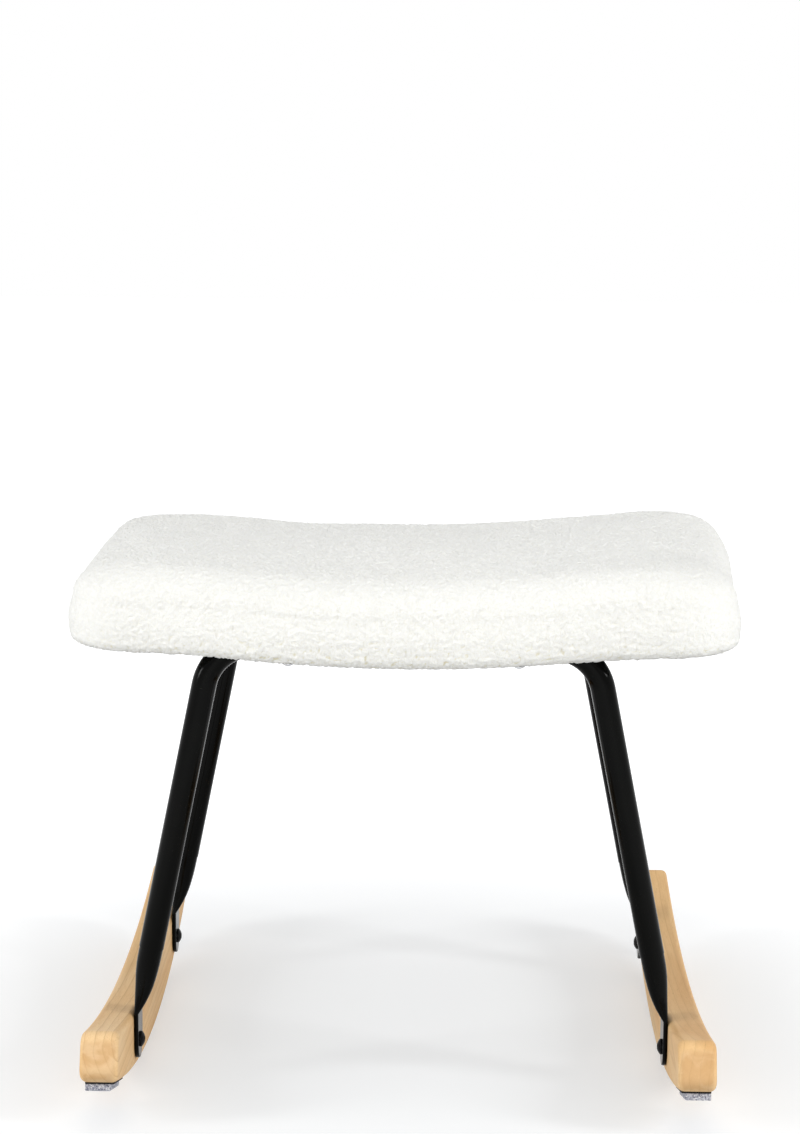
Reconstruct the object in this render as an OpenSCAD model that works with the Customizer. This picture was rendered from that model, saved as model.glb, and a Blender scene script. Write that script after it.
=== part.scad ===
// Rocking footstool: an upholstered seat on two bent-tube leg frames and two curved wooden runners.
// The origin is on the floor under the middle of the stool. X runs across the seat, Y from front to back.

/* [Seat] */
// Width of the upholstered seat
seat_w = 585; // [520:1:660]
// Depth of the upholstered seat, front to back
seat_d = 410; // [340:1:470]
// Corner radius of the seat, seen from above
seat_corner_r = 64; // [40:1:90]
// Height of the seat's side, from its lower rim to its top face
seat_t = 72; // [66:1:100]
// Rise of the seat's middle over the edge of its top face
seat_crown = 5; // [0:0.5:12]
// Height of the rounding at the seat's upper edge
top_round_h = 30; // [20:1:36]
// Width of the rounding at the seat's upper edge
top_round_w = 42; // [25:1:60]
// Radius of the rounding at the seat's lower rim
rim_r = 11; // [8:0.5:13]
// Outward swell of the seat's sides
side_swell = 1.5; // [0:0.5:4]
// How far the seat's sides are drawn in at the top
side_draw = 2.5; // [0:0.5:6]
// Depth that the lower rim hangs below the board
rim_drop = 17; // [14:0.5:20]
// Thickness of the seat cover
cover_t = 3; // [1.5:0.5:3.5]

/* [Dish] */
// Rise of the seat from its middle to its ends
dish_rise = 12; // [6:0.5:18]
// Distance from the middle at which the curve turns over
dish_turn = 140; // [130:1:160]
// Distance from the middle at which the seat is level again
dish_reach = 255; // [230:1:270]

/* [Board] */
// Height of the board's underside over the floor, at mid-width
board_h = 406.5; // [380:0.5:440]
// Thickness of the board
board_t = 12; // [11:0.5:16]
// Distance from the seat's side in to the board's edge
board_inset = 18; // [14:0.5:19]

/* [Leg frames] */
// Outer diameter of the tube
tube_d = 22; // [20:0.5:23]
// Wall thickness of the tube
tube_wall = 2; // [1.5:0.1:2.5]
// Centre-line radius of the bends
bend_r = 44; // [36:1:56]
// Lean of the legs towards the middle, in degrees
leg_lean = 11.37; // [8:0.1:14]
// Distance between the outer faces of the two feet of a frame
foot_span = 474; // [440:1:500]
// Distance from the seat's front or rear side in to the middle of a frame
frame_inset = 55; // [53:1:75]
// Length over which a foot changes from round to flat
taper_l = 60; // [56:1:72]
// Length of the vertical run of a foot's outer face, above the runner
foot_upright = 42; // [36:1:46]
// Height that the flat foot reaches over the runner
foot_over = 1; // [0:0.5:4]

/* [Runners] */
// Width of a runner
runner_w = 33; // [28:1:42]
// Length of a runner
runner_l = 556; // [500:1:600]
// Height of a runner at its middle
runner_t = 56.5; // [50:0.5:66]
// Radius of the runner's underside
rocker_r = 860; // [720:10:1000]
// Radius of the runner's upper side
runner_top_r = 1200; // [1000:10:1500]
// Radius of the runner's long edges
edge_r = 6; // [3:0.5:8]
// Radius of the rounding where a runner's upper side meets its end
crest_r = 13.5; // [8:0.5:18]
// Radius of the runner's lower nose
nose_r = 12; // [8:1:16]

/* [Stop pads] */
// Length of a stop pad
pad_l = 55; // [35:1:70]
// Width of a stop pad
pad_w = 25; // [18:1:27]
// Thickness of a stop pad
pad_t = 6; // [3:0.5:9]
// Thickness of the adhesive strip at its middle
tape_t = 1; // [0.6:0.1:2]
// Distance from the runner's end to a stop pad
pad_setback = 12; // [10:1:30]

/* [Fasteners] */
// Thread diameter of the runner bolts
runner_bolt_d = 8; // [6:1:8]
// Length of a runner bolt under its head
runner_bolt_l = 22; // [18:1:26]
// Height of the runner bolts over the runner's underside
runner_bolt_up = 26; // [22:0.5:30]
// Outer diameter of a threaded insert
insert_d = 12; // [11:0.5:14]
// Length of a threaded insert
insert_l = 20; // [14:1:24]
// Thread diameter of the seat bolts
seat_bolt_d = 6; // [5:1:6]
// Length of a seat bolt under its head
seat_bolt_l = 35; // [33:1:36]
// Distance along a crossbar from a seat bolt to the start of the bend
bolt_from_bend = 27.4; // [16:0.2:60]

/* [Hidden] */

// Overrun of every cut past the faces that it goes through
over = 5;
// Clearance between soft pieces and what they lie on
soft_gap = 0.3;
// Clearance between hard pieces that are bolted together
seat_gap = 0.1;
// Radial clearance of a bolt in a plain hole
hole_gap = 0.3;
// Radial clearance of a thread's nominal bore
thread_gap = 0.1;

// Thickness of the dust cover, and its distance in from the seat's side
dust_t = 0.8;
dust_inset = 41;
// Distance from the seat's side to the end of the cover's hem
hem_end = 39;
// Distance from the seat's side to the inner side of the rolled rim
roll_inset = 28;
// Half depth of the strip that closes the middle of the soft pieces
core_half = 3;

// Staple sizes: width, wire and leg length, with their spacing and place
staple_w = 10;
staple_wire = 0.9;
staple_leg = 6;
staple_step = 40;
hem_staple_inset = 34;
dust_staple_inset = 47;
dust_staple_step = 60;
// Corner stretch of the seat's outline that is left without staples
staple_margin = 30;

// Button heads: diameter and height as shares of the thread, and the hexagon key as a share of it
head_d_share = 1.75;
head_h_share = 0.5;
key_share = 0.625;
key_depth_share = 0.3;
// Height of a head's straight rim as a share of its height
head_rim_share = 0.3;

// Tee nut: flange and barrel
nut_flange_d = 19;
nut_flange_t = 1.5;
nut_barrel_d = 8.4;
nut_barrel_l = 9;

// Saddle washer: diameter and least thickness
saddle_d = 15;
saddle_t = 2;

// Loss of radius in the bends, and how far they reach into the straight runs
bend_thinning = 0.03;
bend_overlap = 0.6;
// Curve of a foot's taper: how fast it swells from flat to round
taper_power_share = 2.5;
// Half of the stretch over which a foot's outer face turns into the leg's
turn_half = 12;
// Share of the taper that stays solid above the flat foot
solid_share = 0.06;
// Radius of the upright edges at a runner's ends
end_edge_r = 5;

smooth = 96;
arc_fn = 2880;
// Sleeve at the top of a taper: its distance in from both faces of the leg's wall, and its length
sleeve_step = 0.4;
sleeve_l = 2;
taper_rings = 11;
tip_rings = 8;
tip_angle = 84;
bore_rings = 8;
taper_sides = 36;

// Angle at which the dish turns over, and the radii of its two arcs
dish_angle = 2 * atan(dish_rise / dish_reach);
dish_r = dish_turn / sin(dish_angle);
rise_r = (dish_reach - dish_turn) / sin(dish_angle);

tube_r = tube_d / 2;
bore_r = tube_r - tube_wall;
flat_t = 2 * tube_wall;
flat_w = flat_width(flat_t);
foot_x = foot_span / 2;
frame_y = seat_d / 2 - frame_inset;

// Heights of the runner's underside and upper side at a distance from its middle
function under_z(y) = rocker_r - sqrt(rocker_r * rocker_r - y * y);
function upper_z(y) = runner_t + runner_top_r - sqrt(runner_top_r * runner_top_r - y * y);

bolt_z = under_z(frame_y) + runner_bolt_up;
foot_top_z = upper_z(frame_y) + foot_over;
runner_x = foot_x + seat_gap;

// Rise of the seat's curve over its middle, and its slope in degrees
function dish(x) =
    let (d = abs(x))
    d <= dish_turn ? dish_r - sqrt(dish_r * dish_r - d * d)
    : d < dish_reach ? dish_rise - rise_r + sqrt(rise_r * rise_r - (dish_reach - d) * (dish_reach - d))
    : dish_rise;
function dish_slope(x) =
    let (d = abs(x),
         turn = d <= dish_turn ? asin(d / dish_r) : d < dish_reach ? asin((dish_reach - d) / rise_r) : 0)
    x < 0 ? -turn : turn;

rim_z = board_h - rim_drop;
dust_z = board_h - dust_t - seat_gap;
bar_z = dust_z - seat_gap - tube_r;
bar_r = dish_r + board_h - bar_z;
dish_centre_z = bar_z + bar_r;

// Width of a pressed tube whose thickness is t: its outline keeps its length
function flat_width(t) = t + (PI * tube_d - PI * t) / 2;

// Axis of a leg: a point on it, its direction and the direction to the inside of the bend
leg_dir = [-sin(leg_lean), cos(leg_lean)];
leg_in = [-cos(leg_lean), -sin(leg_lean)];
leg_point = [foot_x, foot_top_z + foot_upright] + tube_r * leg_in;
bar_centre = [0, dish_centre_z];

// Centre of the bend: as far from the leg's axis as the bend's radius, and touching the crossbar's arc
bend_offset = leg_point + bend_r * leg_in - bar_centre;
bend_reach = bar_r + bend_r;
along = leg_dir * bend_offset;
bend_step = -along - sqrt(along * along - bend_offset * bend_offset + bend_reach * bend_reach);
bend_centre = leg_point + bend_r * leg_in + bend_step * leg_dir;
bar_angle = atan2(bend_centre[0], dish_centre_z - bend_centre[1]);
bend_sweep = 90 + bar_angle - leg_lean;
bolt_angle = bar_angle - bolt_from_bend / bar_r * 180 / PI;

// Outer face of a foot: upright at first, then in line with the leg
function face_x(z) =
    let (d = z - foot_top_z - foot_upright)
    d <= -turn_half ? foot_x
    : d < turn_half ? foot_x - (d + turn_half) * (d + turn_half) / (4 * turn_half) * tan(leg_lean)
    : foot_x - d * tan(leg_lean);
function face_lean(z) =
    let (d = z - foot_top_z - foot_upright)
    d <= -turn_half ? 0
    : d < turn_half ? atan((d + turn_half) / (2 * turn_half) * tan(leg_lean))
    : leg_lean;
function taper_t(share) = flat_t + (tube_d - flat_t) * (1 - pow(1 - share, taper_power_share));

taper_face = [face_x(foot_top_z + taper_l), foot_top_z + taper_l];
leg_start = taper_face + tube_r * leg_in;
leg_run = (bend_centre - bend_r * leg_in - leg_start) * leg_dir;

// Half-round ends joined by straight sides, as a ring of points that starts beside its outer side's middle
function slot_ring(w, t) =
    let (r = t / 2, s = (w - t) / 2)
    [for (i = [0:taper_sides - 1])
        let (a = 360 * (i + 0.5) / taper_sides)
        [r * cos(a), s * sign(sin(a)) + r * sin(a)]];

// One ring of a foot's taper, off inside its outer face; up lifts it along the leg
function taper_ring(share, off, up = 0) =
    let (z = foot_top_z + taper_l * share, t = taper_t(share), lean = face_lean(z),
         centre = [face_x(z) - cos(lean) * t / 2, z - sin(lean) * t / 2] + up * leg_dir)
    [for (p = slot_ring(flat_width(t) - 2 * off, t - 2 * off))
        [centre[0] + p[0] * cos(lean), p[1], centre[1] + p[0] * sin(lean)]];

// One ring of the flat foot at an angle round its tip: 0 is level with the bolt, 90 is the lowest point
function tip_ring(a) =
    let (w = flat_t + (flat_w - flat_t) * cos(a))
    [for (p = slot_ring(w, flat_t)) [foot_x - flat_t / 2 + p[0], p[1], bolt_z - flat_w / 2 * sin(a)]];

// Triangles of a skin over rings of n points each, from a lower cap to an upper one; each cap is a strip
// between the two halves of its ring, which mirror each other
function skin_faces(rings, n) =
    let (last = (rings - 1) * n)
    concat(
        [for (k = [0:rings - 2]) for (i = [0:n - 1])
            let (j = (i + 1) % n)
            each [[k * n + i, (k + 1) * n + i, (k + 1) * n + j], [k * n + i, (k + 1) * n + j, k * n + j]]],
        [for (i = [0:n / 2 - 2]) each [[i, i + 1, n - 1 - i], [i + 1, n - 2 - i, n - 1 - i]]],
        [for (i = [0:n / 2 - 2])
            let (a = last + i, b = last + n - 1 - i)
            each [[b, a + 1, a], [b, b - 1, a + 1]]]
    );

module skin(rings) {
    polyhedron([for (ring = rings) each ring], skin_faces(len(rings), len(rings[0])));
}

// Part of a ring of round rod in the XZ plane, from one angle to another
module rod_arc(centre, arc_r, from, sweep, r) {
    translate([centre[0], 0, centre[1]])
        rotate([90, 0, 0])
            rotate([0, 0, from])
                rotate_extrude(angle = sweep, $fn = arc_r > bend_r ? arc_fn : smooth)
                    translate([arc_r, 0])
                        circle(r, $fn = smooth);
}

// Crossbar, both bends and both legs as one round rod of a given radius; the bends are a hair thinner and
// reach a little way into their neighbours
module arch_rod(r) {
    reach = bend_overlap / bend_r * 180 / PI;
    rod_arc(bar_centre, bar_r, 270 - bar_angle, 2 * bar_angle, r);
    for (side = [0, 1])
        mirror([side, 0, 0]) {
            rod_arc(bend_centre, bend_r, leg_lean - reach, bend_sweep + 2 * reach, r - bend_thinning);
            translate([leg_start[0], 0, leg_start[1]])
                rotate([0, -leg_lean, 0])
                    cylinder(h = leg_run, r = r, $fn = smooth);
        }
}

// Foot: a taper from the round leg to a flat strip with a round end. Its upper end is a thinner sleeve inside
// the leg's wall.
module foot() {
    tip = [for (k = [tip_rings:-1:0]) tip_ring(tip_angle * k / tip_rings)];
    outer = [for (k = [0:taper_rings]) let (s = k / taper_rings) taper_ring(s, sleeve_step * s)];
    sleeve = [taper_ring(1, sleeve_step, sleeve_l), taper_ring(1, tube_wall - sleeve_step, sleeve_l)];
    bore = [for (k = [bore_rings:-1:0])
        let (s = k / bore_rings)
        taper_ring(solid_share + (1 - solid_share) * s, tube_wall - sleeve_step * s)];
    skin(concat(tip, outer, sleeve, bore));
}

// Place of the seat bolts: square to the dish, on the crossbar's axis
module at_seat_bolts() {
    for (y = [-frame_y, frame_y])
        for (side = [-1, 1])
            translate([0, y, dish_centre_z])
                rotate([0, -side * bolt_angle, 0])
                    translate([0, 0, -bar_r])
                        children();
}

module leg_frame(y) {
    color("black")
        translate([0, y, 0])
            difference() {
                union() {
                    difference() {
                        arch_rod(tube_r);
                        arch_rod(bore_r);
                    }
                    for (side = [0, 1])
                        mirror([side, 0, 0])
                            foot();
                }
                translate([0, -y, 0])
                    at_seat_bolts()
                        cylinder(h = tube_d + 2 * over, r = seat_bolt_d / 2 + hole_gap, center = true,
                                 $fn = smooth);
                for (side = [-1, 1])
                    translate([side * foot_x, 0, bolt_z])
                        rotate([0, 90, 0])
                            cylinder(h = 2 * flat_t + 2 * over, r = runner_bolt_d / 2 + hole_gap, center = true,
                                     $fn = smooth);
            }
}

module front_frame() {
    leg_frame(-frame_y);
}

module rear_frame() {
    leg_frame(frame_y);
}

// Runner ends: the end face is square to the rocker's arc
end_angle = asin(runner_l / 2 / rocker_r);
end_dir = [sin(end_angle), -cos(end_angle)];
rocker_centre = [0, rocker_r];
crest_centre = [0, runner_t + runner_top_r];

// Rounding of the lower nose: touches the end face and the rocker's arc from inside
nose_turn = end_angle - asin(nose_r / (rocker_r - nose_r));
nose_centre = rocker_centre + (rocker_r - nose_r) * [sin(nose_turn), -cos(nose_turn)];
nose_on_end = rocker_centre + end_dir * ((nose_centre - rocker_centre) * end_dir);
nose_on_arc = rocker_centre + rocker_r * [sin(nose_turn), -cos(nose_turn)];
nose_corner = rocker_centre + rocker_r * end_dir;

// Rounding of the upper end: touches the end face and the upper side's arc
end_in = [-end_dir[1], end_dir[0]];
crest_from = rocker_centre - crest_r * end_in - crest_centre;
crest_reach = runner_top_r + crest_r;
crest_along = end_dir * crest_from;
crest_root = crest_along * crest_along - crest_from * crest_from + crest_reach * crest_reach;
crest_step = -crest_along + sqrt(crest_root);
crest_round = rocker_centre - crest_r * end_in + crest_step * end_dir;
crest_on_end = crest_round + crest_r * end_in;
crest_on_top = crest_centre + (crest_round - crest_centre) * runner_top_r / crest_reach;
crest_corner_step = (crest_on_top - rocker_centre) * end_dir;
crest_corner = rocker_centre + end_dir * crest_corner_step;

// Cross-section of a runner, rounded along one side: x is the distance from the arc's centre
module rounded_band(inner, outer, round_outer) {
    edge = round_outer ? outer : inner;
    inward = round_outer ? -1 : 1;
    difference() {
        translate([inner, 0])
            square([outer - inner, runner_w]);
        for (side = [0, 1])
            translate([edge + inward * edge_r, side * runner_w + (1 - 2 * side) * edge_r])
                difference() {
                    translate([inward > 0 ? -edge_r - over : 0, side > 0 ? 0 : -edge_r - over])
                        square(edge_r + over);
                    circle(edge_r, $fn = smooth);
                }
    }
}

// Turns an outline of radius and width into a band in the YZ plane around a height
module around_x(z, from, sweep) {
    translate([0, 0, z])
        rotate([0, 90, 0])
            rotate([0, 0, from])
                rotate_extrude(angle = sweep, $fn = arc_fn)
                    children();
}

// Cuts that round a runner's end, seen from the side
module end_cuts() {
    linear_extrude(runner_w + 2 * over)
        difference() {
            polygon([nose_centre, nose_on_end, nose_on_end + over * end_in,
                     nose_corner + over * (end_dir + end_in), nose_on_arc + over * end_dir, nose_on_arc]);
            translate(nose_centre)
                circle(nose_r, $fn = smooth);
        }
    linear_extrude(runner_w + 2 * over)
        difference() {
            polygon([crest_round, crest_on_top, crest_corner - over * end_dir,
                     crest_corner + over * (end_in - end_dir), crest_on_end + over * end_in, crest_on_end]);
            translate(crest_round)
                circle(crest_r, $fn = smooth);
        }
}

// Cut that rounds one upright edge of a runner's end; it runs along the end face
module end_edge_cut(side) {
    translate([side * runner_w + (1 - 2 * side) * end_edge_r, 0, rocker_r])
        rotate([end_angle, 0, 0])
            translate([0, 0, -rocker_r - over])
                linear_extrude(runner_t + rocker_r - under_z(runner_l))
                    difference() {
                        translate([side > 0 ? 0 : -end_edge_r - over, -end_edge_r])
                            square(end_edge_r + over);
                        translate([0, -end_edge_r])
                            circle(end_edge_r, $fn = smooth);
                    }
}

// Runner with rounded long edges and square ends, its inner face on x = 0
module runner_blank() {
    intersection() {
        around_x(rocker_r, -end_angle, 2 * end_angle)
            rounded_band(rocker_r - 2 * runner_t, rocker_r, true);
        around_x(runner_t + runner_top_r, -end_angle, 2 * end_angle)
            rounded_band(runner_top_r, runner_top_r + 2 * runner_t, false);
    }
}

// The same with all its edges rounded
module rounded_runner() {
    difference() {
        runner_blank();
        for (end = [0, 1])
            mirror([0, end, 0])
                translate([-over, 0, 0])
                    rotate([90, 0, 90])
                        end_cuts();
        for (end = [0, 1])
            mirror([0, end, 0])
                for (side = [0, 1])
                    end_edge_cut(side);
    }
}

module runner_body() {
    difference() {
        rounded_runner();
        for (y = [-frame_y, frame_y])
            translate([-over, y, bolt_z])
                rotate([0, 90, 0])
                    cylinder(h = insert_l + seat_gap + over, r = insert_d / 2 + seat_gap, $fn = smooth);
    }
}

module runner() {
    color("burlywood")
        translate([runner_x, 0, 0])
            runner_body();
}

module left_runner() {
    mirror([1, 0, 0])
        runner();
}

module right_runner() {
    runner();
}

// Outline of the seat at a distance in from its side: a quarter, then mirrored all round
corner_points = 4;
long_points = 5;
function quarter(inset) =
    let (a = seat_w / 2 - inset, b = seat_d / 2 - inset, r = seat_corner_r * (1 - inset / (seat_d / 2)))
    [for (i = [0:corner_points]) let (t = 90 * i / corner_points) [a - r + r * cos(t), b - r + r * sin(t)],
     for (i = [1:long_points - 1]) [(a - r) * (1 - i / long_points), b]];
function outline(inset) =
    let (q = quarter(inset), b = seat_d / 2 - inset)
    [each q, [0, b], for (p = reversed(q)) [-p[0], p[1]],
     for (p = q) [-p[0], -p[1]], [0, -b], for (p = reversed(q)) [p[0], -p[1]]];

// Ring of the seat at an inset and a height over its lower rim; it follows the dish
function seat_ring(inset, h) = [for (p = outline(inset)) [p[0], p[1], rim_z + dish(p[0]) + h]];
core_inset = seat_d / 2 - core_half;
hem_h = rim_drop - soft_gap;

// Counts of steps along the half section: rim, side, upper rounding and crown
rim_steps = 2;
side_steps = 1;
round_steps = 5;
hidden_round_steps = 3;
crown_steps = 3;
// Places of the foam's lower rings between the board's edge and the middle, as shares
lower_ring_shares = [1, 0.6, 0.25, 0];

// Half section of the seat's skin, off inside its outer face: rolled rim, side, upper rounding and crown.
// Each point is an inset and a height.
function seat_section(off, roll_h, round_n) =
    let (roll_w = roll_inset - rim_r - off, edge = side_draw + top_round_w)
    [for (i = [0:1]) let (a = 45 * i) [rim_r + roll_w * cos(a), off + (roll_h - off) * (1 - sin(a))],
     for (i = [0:rim_steps])
        let (a = 90 * i / rim_steps)
        [rim_r - (rim_r - off) * sin(a), rim_r - (rim_r - off) * cos(a)],
     for (i = [1:side_steps])
        let (s = i / (side_steps + 1))
        [off + side_draw * s - side_swell * sin(180 * s), rim_r + (seat_t - top_round_h - rim_r) * s],
     for (i = [0:round_n])
        let (a = 90 * i / round_n)
        [edge - (top_round_w - off) * cos(a), seat_t - top_round_h + (top_round_h - off) * sin(a)],
     for (i = [1:crown_steps])
        let (s = i / crown_steps)
        [edge + (core_inset - edge) * s, seat_t - off + seat_crown * (1 - cos(180 * s)) / 2]];
function rings_of(section) = [for (p = section) seat_ring(p[0], p[1])];
function reversed(list) = [for (i = [len(list) - 1:-1:0]) list[i]];

module seat_cover() {
    inner = seat_section(cover_t, hem_h, hidden_round_steps);
    outer = seat_section(0, hem_h - cover_t, round_steps);
    color("ivory")
        skin(rings_of(concat(reversed(inner), [[hem_end, hem_h], [hem_end, hem_h - cover_t]], outer)));
}

module foam_pad() {
    recess_h = rim_drop + board_t + soft_gap;
    edge = board_inset - soft_gap;
    over_board = [for (s = lower_ring_shares) [edge + (core_inset - edge) * s, recess_h]];
    outer = seat_section(cover_t + soft_gap, rim_drop - soft_gap, hidden_round_steps);
    color("lightyellow")
        skin(rings_of(concat(over_board, [[edge, rim_drop - soft_gap]], outer)));
}

// Upright extrusion of the seat's outline at an inset, cut to a sheet that follows the dish
dish_steps = 48;
module dished_sheet(inset, z, t) {
    half = seat_w / 2 - inset;
    xs = [for (i = [-dish_steps:dish_steps]) half * i / dish_steps];
    intersection() {
        translate([0, seat_d / 2, 0])
            rotate([90, 0, 0])
                linear_extrude(seat_d)
                    polygon([for (x = xs) [x, z + dish(x)], for (x = reversed(xs)) [x, z + t + dish(x)]]);
        translate([0, 0, z - over])
            linear_extrude(t + dish_rise + 2 * over)
                polygon(outline(inset));
    }
}

module seat_board() {
    color("wheat")
        difference() {
            dished_sheet(board_inset, board_h, board_t);
            at_seat_bolts()
                cylinder(h = bar_r, r = nut_barrel_d / 2 + seat_gap, $fn = smooth);
            at_seat_bolts()
                translate([0, 0, nut_top - nut_flange_t - seat_gap])
                    cylinder(h = board_t, r = nut_flange_d / 2 + seat_gap, $fn = smooth);
        }
}

module dust_cover() {
    color("dimgray")
        difference() {
            dished_sheet(dust_inset, dust_z, dust_t);
            at_seat_bolts()
                cylinder(h = bar_r, r = seat_bolt_d / 2 + hole_gap, $fn = smooth);
        }
}

// Tee nut: its flange's top lies a little below the board's top face
nut_top = board_h + board_t - bar_z - seat_gap;

module t_nuts() {
    color("silver")
        at_seat_bolts()
            difference() {
                union() {
                    translate([0, 0, nut_top - nut_flange_t])
                        cylinder(h = nut_flange_t, r = nut_flange_d / 2, $fn = smooth);
                    translate([0, 0, nut_top - nut_barrel_l])
                        cylinder(h = nut_barrel_l, r = nut_barrel_d / 2, $fn = smooth);
                }
                cylinder(h = bar_r, r = seat_bolt_d / 2 + thread_gap, $fn = smooth);
            }
}

// Button-head bolt: its head's seat is at z = 0, the shank points up
module button_bolt(d, l) {
    head_r = head_d_share * d / 2;
    head_h = head_h_share * d;
    rim_h = head_rim_share * head_h;
    crown_h = head_h - rim_h;
    crown_r = (head_r * head_r + crown_h * crown_h) / (2 * crown_h);
    cylinder(h = l, r = d / 2, $fn = smooth);
    difference() {
        union() {
            translate([0, 0, -rim_h])
                cylinder(h = rim_h, r = head_r, $fn = smooth);
            rotate_extrude($fn = smooth)
                intersection() {
                    translate([0, crown_r - head_h])
                        circle(crown_r, $fn = smooth);
                    translate([0, -head_h])
                        square([head_r, crown_h]);
                }
        }
        translate([0, 0, -head_h - over])
            cylinder(h = key_depth_share * d + over, r = key_share * d / 2 / cos(30), $fn = 6);
    }
}

saddle_seat = tube_r + seat_gap + saddle_t;

module seat_bolts() {
    color("gray")
        at_seat_bolts()
            translate([0, 0, -saddle_seat - seat_gap])
                button_bolt(seat_bolt_d, seat_bolt_l);
}

module saddle_washers() {
    color("black")
        at_seat_bolts()
            difference() {
                translate([0, 0, -saddle_seat])
                    cylinder(h = saddle_seat - bore_r, r = saddle_d / 2, $fn = smooth);
                rotate([0, 90, 0])
                    cylinder(h = saddle_d + 2 * over, r = tube_r + seat_gap, center = true, $fn = smooth);
                cylinder(h = 2 * saddle_seat + 2 * over, r = seat_bolt_d / 2 + hole_gap, center = true,
                         $fn = smooth);
            }
}

// Staple with its crown under z = 0 along X and its legs up
module staple() {
    translate([-staple_w / 2, -staple_wire / 2, -staple_wire])
        cube([staple_w, staple_wire, staple_wire]);
    for (side = [-1, 1])
        translate([side * (staple_w - staple_wire) / 2 - staple_wire / 2, -staple_wire / 2, -staple_wire])
            cube([staple_wire, staple_wire, staple_wire + staple_leg]);
}

// Staples along all four sides at an inset; top_z is the height of the face that they hold, at mid-width
module staple_rows(inset, step, top_z) {
    reach_x = seat_w / 2 - seat_corner_r - staple_margin;
    reach_y = seat_d / 2 - seat_corner_r - staple_margin;
    count_x = floor(reach_x / step);
    count_y = floor(reach_y / step);
    for (side = [-1, 1]) {
        for (i = [-count_x:count_x])
            translate([i * step, side * (seat_d / 2 - inset), top_z + dish(i * step)])
                rotate([0, -dish_slope(i * step), 0])
                    staple();
        for (i = [-count_y:count_y])
            translate([side * (seat_w / 2 - inset), i * step, top_z + dish(seat_w / 2 - inset)])
                rotate([0, -side * abs(dish_slope(seat_w / 2 - inset)), 0])
                    rotate([0, 0, 90])
                        staple();
    }
}

module cover_staples() {
    color("silver")
        staple_rows(hem_staple_inset, staple_step, rim_z + hem_h - cover_t);
}

module dust_cover_staples() {
    color("silver")
        staple_rows(dust_staple_inset, dust_staple_step, dust_z);
}

// Threaded inserts of the right runner
module runner_inserts() {
    color("goldenrod")
        for (y = [-frame_y, frame_y])
            translate([runner_x, y, bolt_z])
                rotate([0, 90, 0])
                    difference() {
                        cylinder(h = insert_l, r = insert_d / 2, $fn = smooth);
                        translate([0, 0, -over])
                            cylinder(h = insert_l + 2 * over, r = runner_bolt_d / 2 + thread_gap, $fn = smooth);
                    }
}

// Runner bolts of the right side, their heads on the inner face of the feet
module runner_bolts() {
    color("black")
        for (y = [-frame_y, frame_y])
            translate([foot_x - flat_t - seat_gap, y, bolt_z])
                rotate([0, 90, 0])
                    button_bolt(runner_bolt_d, runner_bolt_l);
}

module left_runner_inserts() {
    mirror([1, 0, 0])
        runner_inserts();
}

module right_runner_inserts() {
    runner_inserts();
}

module left_runner_bolts() {
    mirror([1, 0, 0])
        runner_bolts();
}

module right_runner_bolts() {
    runner_bolts();
}

// Place of a stop pad: under the runner's arc, level with it. Side is -1 left or 1 right, end is -1 front
// or 1 rear.
pad_angle = asin((runner_l / 2 - pad_setback - pad_l / 2) / rocker_r);
module at_pad(side, end) {
    translate([side * (runner_x + runner_w / 2), 0, rocker_r])
        rotate([end * pad_angle, 0, 0])
            translate([0, 0, -rocker_r])
                children();
}

// Adhesive strip: flat below, with its upper face along the rocker's arc
tape_steps = 12;
module tape(side, end) {
    ys = [for (i = [tape_steps:-1:-tape_steps]) pad_l / 2 * i / tape_steps];
    color("black")
        at_pad(side, end)
            translate([-pad_w / 2, 0, 0])
                rotate([90, 0, 90])
                    linear_extrude(pad_w)
                        polygon([[-pad_l / 2, -tape_t], [pad_l / 2, -tape_t], for (y = ys) [y, under_z(y)]]);
}

module stop_pad(side, end) {
    color("gray")
        at_pad(side, end)
            translate([-pad_w / 2, -pad_l / 2, -tape_t - pad_t])
                cube([pad_w, pad_l, pad_t]);
}

front_frame();
rear_frame();
left_runner();
right_runner();
seat_board();
foam_pad();
seat_cover();
dust_cover();
cover_staples();
dust_cover_staples();
t_nuts();
seat_bolts();
saddle_washers();
left_runner_inserts();
right_runner_inserts();
left_runner_bolts();
right_runner_bolts();
tape(-1, -1);  // front_left_tape
tape(1, -1);  // front_right_tape
tape(-1, 1);  // rear_left_tape
tape(1, 1);  // rear_right_tape
stop_pad(-1, -1);  // front_left_stop_pad
stop_pad(1, -1);  // front_right_stop_pad
stop_pad(-1, 1);  // rear_left_stop_pad
stop_pad(1, 1);  // rear_right_stop_pad
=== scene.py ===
import math

import bpy
import numpy as np
from mathutils import Matrix, Vector, noise
from mathutils.geometry import tessellate_polygon


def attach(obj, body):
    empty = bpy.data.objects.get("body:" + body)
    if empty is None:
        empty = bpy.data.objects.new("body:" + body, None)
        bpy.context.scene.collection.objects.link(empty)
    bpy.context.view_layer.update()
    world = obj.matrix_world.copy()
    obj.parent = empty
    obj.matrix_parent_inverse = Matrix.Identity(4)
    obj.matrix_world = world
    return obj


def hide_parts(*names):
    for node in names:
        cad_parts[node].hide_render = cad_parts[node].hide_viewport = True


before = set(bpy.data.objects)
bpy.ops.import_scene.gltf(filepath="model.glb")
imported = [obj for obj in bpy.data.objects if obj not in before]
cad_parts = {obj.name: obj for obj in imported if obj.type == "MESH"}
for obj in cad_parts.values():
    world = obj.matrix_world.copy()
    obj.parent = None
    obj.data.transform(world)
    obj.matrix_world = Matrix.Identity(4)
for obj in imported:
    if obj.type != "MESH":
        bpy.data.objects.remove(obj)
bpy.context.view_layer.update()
MM = 0.001

# The vector noise takes its offsets from this seed, so that the curls come out the same each run
SEED = 7
noise.seed_set(SEED)

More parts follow.
